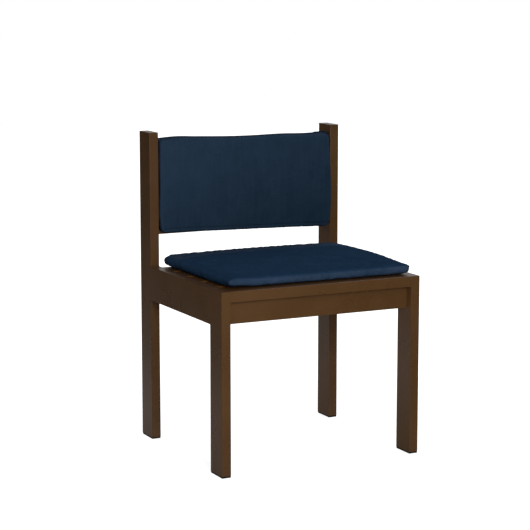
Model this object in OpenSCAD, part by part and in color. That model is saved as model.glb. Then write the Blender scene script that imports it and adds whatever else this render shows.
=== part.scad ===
// Armless outdoor side chair: a welded frame of flat rectangular tube,
// a loose seat pad and a back pad whose hood slips down over the back slats.
// The origin is on the ground under the middle of the chair. The chair faces -Y.

/* [Frame] */
// Width over the outer faces of the legs
chair_w = 520; // [440:1:640]
// Depth from the front legs' front faces to the rear posts' rear faces
chair_d = 468; // [400:1:560]
// Height to the top of the rear posts
chair_h = 760; // [740:1:900]
// Height of the seat frame's top face
seat_h = 432.5; // [380:0.5:450]

/* [Tubes] */
// Width of a leg, seen from the front
leg_w = 23; // [20:0.5:40]
// Depth of a leg, seen from the side
leg_d = 62.5; // [45:0.5:80]
// Height of the rail between a front leg and a rear post
side_rail_h = 83.5; // [50:0.5:110]
// Wall of every tube
tube_wall = 2; // [1.2:0.1:3]
// Outer corner radius of every tube
tube_r = 1; // [0.5:0.1:4]
// Thickness of the welded plates that close the tops of the legs and posts
cap_t = 3; // [2:0.5:6]

/* [Slats] */
// Width of a seat slat, across its broad face
seat_slat_w = 62.5; // [50:0.5:66]
// Thickness of every slat
slat_t = 25; // [18:0.5:32]
// Number of slats in the seat, each with an equal gap behind it
seat_slats = 5; // [3:1:5]
// Number of slats in the back, which share the height that is left for them
back_slats = 3; // [2:1:3]
// Gap between two back slats
back_slat_gap = 20; // [10:0.1:24]
// Share of the back's height that lies open between the seat frame's top face and the lowest back slat
back_rise_share = 0.2315; // [0.18:0.0005:0.3]
// Share of the back's height by which the posts stand above the top back slat
back_drop_share = 0.0735; // [0.05:0.0005:0.12]

/* [Aprons] */
// Thickness of the rails that join the two front legs and the two rear posts
apron_t = 25; // [18:0.5:32]
// Height of those rails
apron_h = 54; // [30:0.5:70]
// Distance that they stand back from the faces of the legs
apron_setback = 21.5; // [5:0.5:30]

/* [Glides] */
// Height of the part of a glide that shows under its leg
glide_base_h = 4; // [3:0.5:8]
// Distance that a glide's base stands in from the faces of its leg
glide_inset = 0.4; // [0.2:0.1:1]
// Height of the plug inside the leg
glide_plug_h = 22; // [15:0.5:35]
// Wall of the plug
glide_wall = 2.2; // [1.5:0.1:3]
// Depth of the gripping fins around the plug
glide_fin_d = 1.4; // [0.8:0.1:2]
// Thickness of a fin
glide_fin_t = 1.2; // [0.8:0.1:2]
// Number of fins, one above the other
glide_fins = 4; // [2:1:5]

/* [Seat pad] */
// Thickness of the seat pad at its corners
seat_pad_t = 28; // [18:0.5:45]
// Height that the middle of the pad stands above its corners
seat_pad_crown = 10; // [4:0.5:16]
// Distance that the middle of each side is drawn in
seat_pad_draw = 2; // [0:0.5:8]
// Corner radius of the seat pad in plan
seat_pad_corner_r = 20; // [19:0.5:60]
// Rounding of the edge that runs round the pad
seat_pad_edge_r = 13.5; // [7:0.5:18]
// Distance from the outer faces of the side rails to the pad
seat_pad_inset = 21.5; // [0:0.5:50]
// Distance from the front faces of the legs to the pad
seat_pad_setback = 22.5; // [0:0.5:60]
// Gap between the pad and the front faces of the rear posts
seat_pad_rear_gap = 3.5; // [1:0.5:30]
// Sideways shift of the pad as it lies, towards the right
seat_pad_shift = 9.5; // [-15:0.5:15]

/* [Back pad] */
// Thickness of the back pad at its corners, in front of the slats
back_pad_t = 18.3; // [14:0.1:30]
// Distance that the middle of the back pad bulges forward
back_pad_crown = 7; // [2:0.5:14]
// Distance that the middle of each side is drawn in
back_pad_draw = 2.5; // [0:0.5:4]
// Corner radius of the back pad, seen from the front
back_pad_corner_r = 12; // [11:0.5:30]
// Rounding of the back pad's front edge
back_pad_edge_r = 9; // [5:0.5:10]
// Rounding of the back pad's rear edge, against the slats
back_pad_seam_r = 3; // [1.5:0.5:4]
// Distance that the pad hangs below the lowest slat
back_pad_hem = 1.5; // [0:0.5:10]
// Distance that the pad's corners stand above the hood
back_pad_ear = 4; // [3:0.5:8]
// Thickness of the hood's padded cloth
hood_t = 2.5; // [1.5:0.1:5]
// Gap between the back pad and each post
back_pad_side_gap = 0.6; // [0.3:0.1:6]

/* [Covers] */
// Thickness of the pads' covers
cover_t = 1.6; // [1:0.1:2.5]

/* [Hidden] */
// Clearance between a pad and what it lies on or slips over
pad_clearance = 0.3;
// Clearance between a cover and its foam
foam_clearance = 0.4;
// Clearance between a glide's fins and the bore of its leg
glide_clearance = 0.15;
// Least radius left where a wall takes up a corner
least_r = 0.3;
// Overrun of a cut past the face that it opens
overrun = 1;

tube_inner_r = max(tube_r - tube_wall, least_r);
leg_x = (chair_w - leg_w) / 2;
leg_y = (chair_d - leg_d) / 2;
inner_w = chair_w - 2 * leg_w;
side_rail_w = leg_w;
side_rail_l = chair_d - 2 * leg_d;
seat_slat_front_y = (seat_slat_w - chair_d) / 2;
seat_slat_pitch = (chair_d - leg_d) / seat_slats;
apron_y = chair_d / 2 - apron_setback - apron_t / 2;
apron_z = seat_h - slat_t - apron_h / 2;
back_h = chair_h - seat_h;
back_low = seat_h + back_rise_share * back_h;
back_high = chair_h - back_drop_share * back_h;
back_slat_w = (back_high - back_low - (back_slats - 1) * back_slat_gap) / back_slats;
back_slat_pitch = back_slat_w + back_slat_gap;

seat_pad_hx = chair_w / 2 - seat_pad_inset;
seat_pad_front = -chair_d / 2 + seat_pad_setback;
seat_pad_rear = chair_d / 2 - leg_d - seat_pad_rear_gap;
seat_pad_hy = (seat_pad_rear - seat_pad_front) / 2;
seat_pad_y = (seat_pad_rear + seat_pad_front) / 2;

pocket_front_y = leg_y - slat_t / 2 - pad_clearance;
pocket_rear_y = leg_y + slat_t / 2 + pad_clearance;
pocket_top_z = back_high + pad_clearance;
back_pad_low = back_low - back_pad_hem;
back_pad_high = pocket_top_z + hood_t + back_pad_ear;
back_pad_hx = inner_w / 2 - back_pad_side_gap;
back_pad_hz = (back_pad_high - back_pad_low) / 2;
back_pad_z = (back_pad_high + back_pad_low) / 2;
hood_r = hood_t + pad_clearance;

glide_plug_gap = glide_fin_d + glide_clearance;
glide_fin_pitch = glide_plug_h / (glide_fins + 1);

bronze = "#4f371f";
navy = "#1c2e45";
black = "#1b1a1a";
foam_cream = "#d9d2bd";

corner_fn = 32;
// Steps of a pad's surface: along a side, round a corner, over the rounded edge and over the crown
outer_steps = [8, 6, 4, 4];
inner_steps = [4, 3, 3, 3];

sides = ["left", "right"];
ends = ["front", "rear"];
back_levels = ["top", "middle", "bottom"];

// Direction along X of a side, and along Y of an end
function side_sign(side) = side == "left" ? -1 : 1;
function end_sign(end) = end == "front" ? -1 : 1;

// Rectangle with rounded corners, made of straight runs and true arcs
module rounded_plate(w, d, r) {
    square([w - 2 * r, d], center = true);
    square([w, d - 2 * r], center = true);
    for (sx = [-1, 1], sy = [-1, 1])
        translate([sx * (w / 2 - r), sy * (d / 2 - r)])
            circle(r = r, $fn = corner_fn);
}

// Section of a tube
module tube_section(w, d) {
    difference() {
        rounded_plate(w, d, tube_r);
        rounded_plate(w - 2 * tube_wall, d - 2 * tube_wall, tube_inner_r);
    }
}

// Tubes by the way they run, each centred on its own middle
module tube_across(depth, height, length) {
    rotate([90, 0, 90])
        linear_extrude(length, center = true) tube_section(depth, height);
}

module tube_back(width, height, length) {
    rotate([90, 0, 0])
        linear_extrude(length, center = true) tube_section(width, height);
}

// An upright from its glide to the plate on its top
module upright(side, end, top) {
    color(bronze)
        translate([side_sign(side) * leg_x, end_sign(end) * leg_y, glide_base_h])
            linear_extrude(top - cap_t - glide_base_h) tube_section(leg_w, leg_d);
}

module upright_cap(side, end, top) {
    color(bronze)
        translate([side_sign(side) * leg_x, end_sign(end) * leg_y, top - cap_t])
            linear_extrude(cap_t) rounded_plate(leg_w, leg_d, tube_r);
}

module side_rail(side) {
    color(bronze)
        translate([side_sign(side) * leg_x, 0, seat_h - side_rail_h / 2])
            tube_back(side_rail_w, side_rail_h, side_rail_l);
}

// Rail that stands on edge between the two uprights of an end, lower than the slats
module apron(end) {
    color(bronze)
        translate([0, end_sign(end) * apron_y, apron_z])
            tube_across(apron_t, apron_h, inner_w);
}

// Seat slats are counted from the front, where the first lies between the legs.
// They share the depth in front of the rear posts; between the posts the seat is open.
module seat_slat(i) {
    color(bronze)
        translate([0, seat_slat_front_y + (i - 1) * seat_slat_pitch, seat_h - slat_t / 2])
            tube_across(seat_slat_w, slat_t, inner_w);
}

// Back slats stand on edge between the posts, counted down from the top
module back_slat(i) {
    color(bronze)
        translate([0, leg_y, back_high - back_slat_w / 2 - i * back_slat_pitch])
            tube_across(slat_t, back_slat_w, inner_w);
}

// Glide: a base under the leg and a finned plug that is driven up into the tube
module foot_glide(end, side) {
    bore_w = leg_w - 2 * tube_wall;
    bore_d = leg_d - 2 * tube_wall;
    plug_w = bore_w - 2 * glide_plug_gap;
    plug_d = bore_d - 2 * glide_plug_gap;
    color(black)
        translate([side_sign(side) * leg_x, end_sign(end) * leg_y, 0]) {
            linear_extrude(glide_base_h)
                rounded_plate(leg_w - 2 * glide_inset, leg_d - 2 * glide_inset, tube_r);
            difference() {
                union() {
                    translate([0, 0, glide_base_h])
                        linear_extrude(glide_plug_h) rounded_plate(plug_w, plug_d, least_r);
                    for (k = [1 : glide_fins])
                        translate([0, 0, glide_base_h + k * glide_fin_pitch - glide_fin_t / 2])
                            linear_extrude(glide_fin_t)
                                rounded_plate(
                                    bore_w - 2 * glide_clearance,
                                    bore_d - 2 * glide_clearance,
                                    least_r
                                );
                }
                translate([0, 0, glide_base_h])
                    linear_extrude(glide_plug_h + overrun)
                        rounded_plate(plug_w - 2 * glide_wall, plug_d - 2 * glide_wall, least_r);
            }
        }
}

// One point of a pad's outline, drawn in along its sides.
// a and b are half the width and depth, r the corner radius and draw the pull at mid side.
function drawn_in(p, a, b, draw) = [
    p.x - sign(p.x) * draw * pow(abs(p.x) / a, 4) * (1 - pow(p.y / b, 2)),
    p.y - sign(p.y) * draw * pow(abs(p.y) / b, 4) * (1 - pow(p.x / a, 2))
];

// Outline of a pad as points, anticlockwise: four corner arcs joined by divided sides
function pad_outline(a, b, r, draw, side_steps, corner_steps) = [
    for (q = [0 : 3])
        let (
            cx = (q == 0 || q == 3 ? 1 : -1) * (a - r),
            cy = (q < 2 ? 1 : -1) * (b - r),
            nx = (q == 0 ? -1 : q == 1 ? -1 : 1) * (a - r),
            ny = (q == 0 ? 1 : q == 1 ? -1 : q == 2 ? -1 : 1) * (b - r),
            turn = 90 * (q + 1)
        )
        each concat(
            [for (i = [0 : corner_steps])
                let (t = 90 * q + 90 * i / corner_steps)
                drawn_in([cx + r * cos(t), cy + r * sin(t)], a, b, draw)],
            [for (i = [1 : side_steps - 1])
                let (f = i / side_steps)
                drawn_in(
                    [cx + (nx - cx) * f + r * cos(turn), cy + (ny - cy) * f + r * sin(turn)],
                    a, b, draw
                )]
        )
];

// Height of the pad's top over a point, before its edge is rounded:
// the corner thickness, with a share of the crown across each way and the rest in the middle.
across_share = 0.25;
along_share = 0.55;
middle_share = 0.2;
function pad_top(p, a, b, t, crown) =
    let (u = 1 - pow(p.x / a, 2), v = 1 - pow(p.y / b, 2))
    t + crown * (across_share * u + along_share * v + middle_share * u * v);

// Closed pad, flat below, with a rounded edge and a crowned top.
// Its rings run from the flat underside, out over the edge and in over the crown.
module pad(a, b, t, r, low_r, high_r, draw, crown, steps) {
    side_steps = steps[0];
    corner_steps = steps[1];
    edge_rings = steps[2];
    crown_rings = steps[3];
    n = 4 * (side_steps + corner_steps);
    low = [for (k = [0 : edge_rings])
        let (e = 90 * k / edge_rings)
        [low_r * (1 - sin(e)), low_r * (1 - cos(e)), 0]];
    high = [for (k = [0 : edge_rings])
        let (e = 90 * k / edge_rings)
        [high_r * (1 - cos(e)), high_r * (1 - sin(e)), 1]];
    edge = concat(low, high);
    rings = concat(
        [for (g = edge)
            [for (p = pad_outline(a - g[0], b - g[0], r - g[0], draw, side_steps, corner_steps))
                [p.x, p.y, g[2] == 0 ? g[1] : pad_top(p, a, b, t, crown) - g[1]]]],
        [for (k = [1 : crown_rings])
            let (s = 1 - k / (crown_rings + 1))
            [for (p = pad_outline(
                a - high_r, b - high_r, r - high_r, draw, side_steps, corner_steps
            ))
                let (q = p * s)
                [q.x, q.y, pad_top(q, a, b, t, crown)]]]
    );
    m = len(rings);
    points = concat(
        [for (ring = rings) each ring],
        [[0, 0, 0], [0, 0, pad_top([0, 0], a, b, t, crown)]]
    );
    faces = concat(
        [for (k = [0 : m - 2], i = [0 : n - 1])
            let (j = (i + 1) % n)
            each [
                [k * n + i, (k + 1) * n + i, (k + 1) * n + j],
                [k * n + i, (k + 1) * n + j, k * n + j]
            ]],
        [for (i = [0 : n - 1]) [m * n, i, (i + 1) % n]],
        [for (i = [0 : n - 1]) [m * n + 1, (m - 1) * n + (i + 1) % n, (m - 1) * n + i]]
    );
    polyhedron(points, faces, convexity = 4);
}

// The two pads, each as a cover's outside or, set in by a depth, as what lies within it
module seat_pad_body(in, steps) {
    translate([seat_pad_shift, seat_pad_y, seat_h + pad_clearance + in])
        pad(
            seat_pad_hx - in, seat_pad_hy - in, seat_pad_t - 2 * in, seat_pad_corner_r - in,
            seat_pad_edge_r - in, seat_pad_edge_r - in, seat_pad_draw, seat_pad_crown, steps
        );
}

module back_pad_body(in, steps) {
    translate([0, pocket_front_y - in, back_pad_z])
        rotate([90, 0, 0])
            pad(
                back_pad_hx - in, back_pad_hz - in, back_pad_t - 2 * in, back_pad_corner_r - in,
                max(back_pad_seam_r - in, least_r), back_pad_edge_r - in,
                back_pad_draw, back_pad_crown, steps
            );
}

module seat_pad_cover() {
    color(navy)
        difference() {
            seat_pad_body(0, outer_steps);
            seat_pad_body(cover_t, inner_steps);
        }
}

module seat_pad_foam() {
    color(foam_cream) seat_pad_body(cover_t + foam_clearance, inner_steps);
}

module back_pad_cover() {
    color(navy)
        difference() {
            back_pad_body(0, outer_steps);
            back_pad_body(cover_t, inner_steps);
        }
}

module back_pad_foam() {
    color(foam_cream) back_pad_body(cover_t + foam_clearance, inner_steps);
}

// Hood: the cloth that runs from the pad's top over the slats and down behind them
module back_pad_hood() {
    depth = pocket_rear_y - pocket_front_y;
    height = pocket_top_z - back_pad_low;
    color(navy)
        translate([0, pocket_front_y, back_pad_low])
            rotate([90, 0, 90])
                linear_extrude(2 * back_pad_hx, center = true) {
                    translate([depth, 0]) square([hood_t, height + hood_t - hood_r]);
                    translate([0, height]) square([depth + hood_t - hood_r, hood_t]);
                    translate([depth + hood_t - hood_r, height + hood_t - hood_r])
                        intersection() {
                            difference() {
                                circle(r = hood_r, $fn = corner_fn);
                                circle(r = hood_r - hood_t, $fn = corner_fn);
                            }
                            square(hood_r);
                        }
                }
}

for (s = sides) {
    upright(s, "front", seat_h);
    upright(s, "rear", chair_h);
    upright_cap(s, "front", seat_h);
    upright_cap(s, "rear", chair_h);
    side_rail(s);
}
for (e = ends)
    apron(e);
for (i = [1 : seat_slats])
    seat_slat(i);
for (i = [0 : back_slats - 1])
    back_slat(i);
for (e = ends, s = sides)
    foot_glide(e, s);
seat_pad_cover();
seat_pad_foam();
back_pad_cover();
back_pad_foam();
back_pad_hood();
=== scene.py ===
import math

import bpy
import numpy as np
from mathutils import Matrix, Vector


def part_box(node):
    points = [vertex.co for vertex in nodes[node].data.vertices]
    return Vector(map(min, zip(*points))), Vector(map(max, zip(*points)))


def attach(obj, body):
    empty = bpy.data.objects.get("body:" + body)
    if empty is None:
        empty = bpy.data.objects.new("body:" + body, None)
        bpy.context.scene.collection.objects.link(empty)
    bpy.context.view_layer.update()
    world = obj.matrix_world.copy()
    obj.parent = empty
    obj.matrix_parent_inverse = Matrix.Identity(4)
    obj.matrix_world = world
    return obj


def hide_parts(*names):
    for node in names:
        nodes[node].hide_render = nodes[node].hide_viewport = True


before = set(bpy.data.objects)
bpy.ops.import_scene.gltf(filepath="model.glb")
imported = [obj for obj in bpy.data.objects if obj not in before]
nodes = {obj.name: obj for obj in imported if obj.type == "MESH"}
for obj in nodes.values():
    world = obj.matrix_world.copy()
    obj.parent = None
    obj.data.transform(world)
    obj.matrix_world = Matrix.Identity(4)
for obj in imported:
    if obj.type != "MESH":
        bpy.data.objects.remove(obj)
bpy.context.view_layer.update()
print("frame loaded:", len(nodes), "CAD pieces")

mm = 0.001


# Meshes from grids

def cells(grid):
    # The four corners of every cell of a grid, in order round the cell
    corners = [grid[:-1, :-1], grid[1:, :-1], grid[1:, 1:], grid[:-1, 1:]]
    return np.stack(corners, axis=2).reshape((-1, 4) + grid.shape[2:])


def closedLoop(grid):
    # The grid with its first row again at the end
    return np.concatenate([grid, grid[:1]])


def gradedLine(count, ease):
    # count cells from -1 to 1, narrower towards both ends: t + ease * sin(pi t) / pi
    t = np.linspace(-1, 1, count + 1)
    return t + ease * np.sin(np.pi * t) / np.pi


def curveThrough(knots, x):
    # Smooth curve through a few points: every span is a cubic, and its slopes are the knots' mean ones
    at, value = np.array(knots, float).T
    slope = np.gradient(value, at)
    i = np.clip(np.searchsorted(at, x) - 1, 0, len(at) - 2)
    h = at[i + 1] - at[i]
    t = np.clip((x - at[i]) / h, 0, 1)
    rise = value[i] + (value[i + 1] - value[i]) * t * t * (3 - 2 * t)
    return rise + h * t * (1 - t) * (slope[i] * (1 - t) - slope[i + 1] * t)


def makePiece(name, points, faces, material, body, clothUv=None, paintedLight=None):
    # A mesh in metres that rides on a body, with its cloth lengths and, where it has them, its painted
    # light:
    # a mask for a lighter cloth colour where light falls
    mesh = bpy.data.meshes.new(name)
    mesh.from_pydata(points.tolist(), [], [list(f) for f in faces])
    mesh.polygons.foreach_set("use_smooth", np.ones(len(mesh.polygons), bool))
    if clothUv is not None:
        layer = mesh.uv_layers.new(name="cloth")
        layer.data.foreach_set("uv", clothUv.astype(np.float32).ravel())
    if paintedLight is not None:
        paintedLightAttribute = mesh.attributes.new("paintedLight", "FLOAT", "POINT")
        paintedLightAttribute.data.foreach_set("value", paintedLight.astype(np.float32))
    mesh.materials.append(material)
    mesh.update()
    obj = bpy.data.objects.new(name, mesh)
    bpy.context.scene.collection.objects.link(obj)
    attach(obj, body)
    return obj


# Shader node groups and materials

def newGroup(name, inputs, outputs):
    # A shader node group with named sockets, and its sockets as they are seen from inside
    tree = bpy.data.node_groups.new(name, "ShaderNodeTree")
    for label, kind, value in inputs:
        socket = tree.interface.new_socket(label, in_out="INPUT", socket_type=kind)
        if value is not None:
            socket.default_value = value
    for label, kind in outputs:
        tree.interface.new_socket(label, in_out="OUTPUT", socket_type=kind)
    return tree, tree.nodes.new("NodeGroupInput").outputs, tree.nodes.new("NodeGroupOutput").inputs


def fill(tree, node, socket, value):
    # A socket takes a link or a plain value
    if isinstance(value, bpy.types.NodeSocket):
        tree.links.new(value, node.inputs[socket])
    else:
        node.inputs[socket].default_value = value


def calc(tree, operation, *values):
    node = tree.nodes.new("ShaderNodeMath")
    node.operation = operation
    for i, value in enumerate(values):
        fill(tree, node, i, value)
    return node.outputs[0]


def vectorCalc(tree, operation, **values):
    node = tree.nodes.new("ShaderNodeVectorMath")
    node.operation = operation
    for socket, value in values.items():
        fill(tree, node, {"a": 0, "b": 1, "scale": "Scale"}[socket], value)
    return node.outputs["Value" if operation in ("LENGTH", "DOT_PRODUCT") else "Vector"]


def noise(tree, vector, scale, detail=2.0, roughness=0.5):
    node = tree.nodes.new("ShaderNodeTexNoise")
    fill(tree, node, "Vector", vector)
    fill(tree, node, "Scale", scale)
    node.inputs["Detail"].default_value = detail
    node.inputs["Roughness"].default_value = roughness
    return node.outputs["Fac"]


def ranged(tree, value, low, high, toLow, toHigh):
    node = tree.nodes.new("ShaderNodeMapRange")
    for socket, v in zip(("Value", "From Min", "From Max", "To Min", "To Max"),
                         (value, low, high, toLow, toHigh)):
        fill(tree, node, socket, v)
    return node.outputs["Result"]


def mixed(tree, factor, a, b):
    node = tree.nodes.new("ShaderNodeMix")
    node.data_type = "RGBA"
    for socket, v in ((0, factor), (6, a), (7, b)):
        fill(tree, node, socket, v)
    return node.outputs[2]


wovenPattern = {
    "ridgeShare": 0.6,  # of the height; the rest is the crest where two yarns cross
    "slubRun": 0.04,  # a yarn's tone changes this much slower along it than from yarn to yarn
    "slubScale": 0.73,
    "slubNoise": (1.0, 0.5),  # detail and roughness of each noise
    "patchNoise": (3.0, 0.6),
    "streakNoise": (2.0, 0.5),
}


def makeWovenCloth(pattern):
    # Plain weave: warp and weft are rounded ridges, and each passes over the other in turn.
    # Tone varies from yarn to yarn and, softly, in broad patches and thin streaks of the piece.
    tree, given, out = newGroup(
        "wovenCloth",
        [("Cloth", "NodeSocketVector", None), ("Place", "NodeSocketVector", None),
         ("Streak stretch", "NodeSocketVector", None), ("Streak scale", "NodeSocketFloat", 100.0),
         ("Yarn pitch", "NodeSocketFloat", 0.001), ("Patch scale", "NodeSocketFloat", 20.0)],
        [("Height", "NodeSocketFloat"), ("Yarn tone", "NodeSocketFloat"),
         ("Patch tone", "NodeSocketFloat"), ("Streak tone", "NodeSocketFloat")],
    )
    perYarn = calc(tree, "DIVIDE", 1.0, given["Yarn pitch"])
    yarns = vectorCalc(tree, "SCALE", a=given["Cloth"], scale=perYarn)
    split = tree.nodes.new("ShaderNodeSeparateXYZ")
    tree.links.new(yarns, split.inputs[0])
    across, along = split.outputs[0], split.outputs[1]
    warpNumber, weftNumber = calc(tree, "FLOOR", across), calc(tree, "FLOOR", along)
    over = calc(tree, "PINGPONG", calc(tree, "ADD", warpNumber, weftNumber), 1.0)
    warp = calc(tree, "ABSOLUTE", calc(tree, "SINE", calc(tree, "MULTIPLY", across, math.pi)))
    weft = calc(tree, "ABSOLUTE", calc(tree, "SINE", calc(tree, "MULTIPLY", along, math.pi)))
    crest = calc(tree, "MULTIPLY", warp, weft)
    ridge = calc(tree, "ADD", calc(tree, "MULTIPLY", over, warp),
                 calc(tree, "MULTIPLY", calc(tree, "SUBTRACT", 1.0, over), weft))
    height = calc(tree, "ADD", calc(tree, "MULTIPLY", ridge, pattern["ridgeShare"]),
                  calc(tree, "MULTIPLY", crest, 1 - pattern["ridgeShare"]))
    tree.links.new(height, out["Height"])
    slub = []
    for number, run in ((warpNumber, along), (weftNumber, across)):
        place = tree.nodes.new("ShaderNodeCombineXYZ")
        fill(tree, place, 0, number)
        fill(tree, place, 1, calc(tree, "MULTIPLY", run, pattern["slubRun"]))
        slub.append(noise(tree, place.outputs[0], pattern["slubScale"], *pattern["slubNoise"]))
    tree.links.new(
        calc(tree, "ADD", calc(tree, "MULTIPLY", over, slub[0]),
             calc(tree, "MULTIPLY", calc(tree, "SUBTRACT", 1.0, over), slub[1])),
        out["Yarn tone"],
    )
    patches = noise(tree, given["Place"], given["Patch scale"], *pattern["patchNoise"])
    tree.links.new(patches, out["Patch tone"])
    stretched = vectorCalc(tree, "MULTIPLY", a=given["Place"], b=given["Streak stretch"])
    streaks = noise(tree, stretched, given["Streak scale"], *pattern["streakNoise"])
    tree.links.new(streaks, out["Streak tone"])
    return tree


powderPattern = {
    "peelShare": 0.75,  # of the height; the rest is a finer grain
    "fineRatio": 3.1,
    "toneScale": 9.0,
    "peelNoise": (1.0, 0.4),
    "fineNoise": (1.0, 0.5),
    "toneNoise": (3.0, 0.55),
}


def makePowderGrain(pattern):
    # Sprayed powder: a fine orange-peel height, and broad soft patches where the coat is thicker
    tree, given, out = newGroup(
        "powderGrain",
        [("Place", "NodeSocketVector", None), ("Grain scale", "NodeSocketFloat", 700.0)],
        [("Height", "NodeSocketFloat"), ("Coat tone", "NodeSocketFloat")],
    )
    peel = noise(tree, given["Place"], given["Grain scale"], *pattern["peelNoise"])
    fineScale = calc(tree, "MULTIPLY", given["Grain scale"], pattern["fineRatio"])
    fine = noise(tree, given["Place"], fineScale, *pattern["fineNoise"])
    height = calc(tree, "ADD", calc(tree, "MULTIPLY", peel, pattern["peelShare"]),
                  calc(tree, "MULTIPLY", fine, 1 - pattern["peelShare"]))
    tree.links.new(height, out["Height"])
    tone = noise(tree, given["Place"], pattern["toneScale"], *pattern["toneNoise"])
    tree.links.new(tone, out["Coat tone"])
    return tree


wovenCloth = makeWovenCloth(wovenPattern)
powderGrain = makePowderGrain(powderPattern)


def newMaterial(name):
    material = bpy.data.materials.new(name)
    material.use_nodes = True
    tree = material.node_tree
    shader = tree.nodes["Principled BSDF"]
    place = tree.nodes.new("ShaderNodeTexCoord").outputs["Object"]
    return material, tree, shader, place


def useGroup(tree, group, **values):
    node = tree.nodes.new("ShaderNodeGroup")
    node.node_tree = group
    for socket, value in values.items():
        fill(tree, node, socket.replace("_", " "), value)
    return node.outputs


def bump(tree, shader, height, distance, strength):
    node = tree.nodes.new("ShaderNodeBump")
    node.inputs["Strength"].default_value = strength
    node.inputs["Distance"].default_value = distance
    tree.links.new(height, node.inputs["Height"])
    tree.links.new(node.outputs["Normal"], shader.inputs["Normal"])


bronzeCoat = {
    "dark": (0.069, 0.0308, 0.0086, 1),
    "light": (0.083, 0.0375, 0.0107, 1),
    "roughness": (0.26, 0.32),
    "specular": 0.5,
    "toneSpan": (0.3, 0.7),
    "grainScale": 700.0,
    "peelDepth": 0.00003,
    "peelStrength": 0.6,
}


def makeBronze(coat):
    material, tree, shader, place = newMaterial("bronze powder coat")
    grain = useGroup(tree, powderGrain, Place=place, Grain_scale=coat["grainScale"])
    tone = ranged(tree, grain["Coat tone"], *coat["toneSpan"], 0.0, 1.0)
    tree.links.new(mixed(tree, tone, coat["dark"], coat["light"]), shader.inputs["Base Color"])
    tree.links.new(ranged(tree, tone, 0.0, 1.0, *coat["roughness"]), shader.inputs["Roughness"])
    shader.inputs["Specular IOR Level"].default_value = coat["specular"]
    bump(tree, shader, grain["Height"], coat["peelDepth"], coat["peelStrength"])
    return material


glideNylon = {
    "colour": (0.0065, 0.006, 0.0058, 1),
    "worn": (0.016, 0.0155, 0.015, 1),
    "roughness": (0.45, 0.7),
    "specular": 0.3,
    "scuffScale": 160.0,
    "scuffNoise": (4.0, 0.7),
    "scuffSpan": (0.55, 0.75),
    "grainScale": 420.0,
    "grainDepth": 0.00008,
    "grainStrength": 0.5,
}


def makeNylon(nylon):
    material, tree, shader, place = newMaterial("black nylon")
    grain = useGroup(tree, powderGrain, Place=place, Grain_scale=nylon["grainScale"])
    scuff = noise(tree, place, nylon["scuffScale"], *nylon["scuffNoise"])
    scuff = ranged(tree, scuff, *nylon["scuffSpan"], 0.0, 1.0)
    tree.links.new(mixed(tree, scuff, nylon["colour"], nylon["worn"]), shader.inputs["Base Color"])
    tree.links.new(ranged(tree, scuff, 0.0, 1.0, *nylon["roughness"]), shader.inputs["Roughness"])
    shader.inputs["Specular IOR Level"].default_value = nylon["specular"]
    bump(tree, shader, grain["Height"], nylon["grainDepth"], nylon["grainStrength"])
    return material


padCloth = {
    "yarnPitch": 0.0009,
    "weaveDepth": 0.0002,
    "weaveStrength": 0.7,
    "roughness": 0.95,
    "specular": 0.0,
    "streakScale": 110.0,
    "toneShares": {"Yarn tone": 0.35, "Patch tone": 0.4, "Streak tone": 0.18, "Height": 0.17},
    "toneSpan": (0.3, 0.8),
    "paintedLightPatch": (0.35, 0.65),  # the painted light is weaker where its patch tone is low
    "paintedLightLeast": 0.4,
}
# The seat's cloth is the back's cloth made bluer: painted shade, the deeper blue its top shows where little
# light falls
seatTone = {
    "dark": (0.0095, 0.025, 0.052, 1),
    "light": (0.0175, 0.0405, 0.084, 1),
    # painted light: the lighter colour mixed in where light falls on the pad
    "paintedLight": (0.029, 0.048, 0.084, 1),
    "stretch": (1.0, 0.2, 1.0),  # streaks run along the axis with the least number
    "patchScale": 22.0,
    "paintedLightSlope": (0, 0.55, 0),  # in tones a metre: painted light, the cloth is paler towards the rear
    "paintedLightFrom": (0, 0.03, 0),
}
backTone = {
    "dark": (0.009, 0.0195, 0.0352, 1),
    "light": (0.0193, 0.0373, 0.0652, 1),
    # painted light: the lighter colour mixed in where light falls on the pad
    "paintedLight": (0.026, 0.041, 0.07, 1),
    "stretch": (1.0, 1.0, 0.09),
    "patchScale": 19.0,
    "paintedLightSlope": (-0.5, 0, 0.75),  # painted light and shade: paler towards its upper left, darker towards its lower right
    "paintedLightFrom": (0, 0, 0.62),
}


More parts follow.
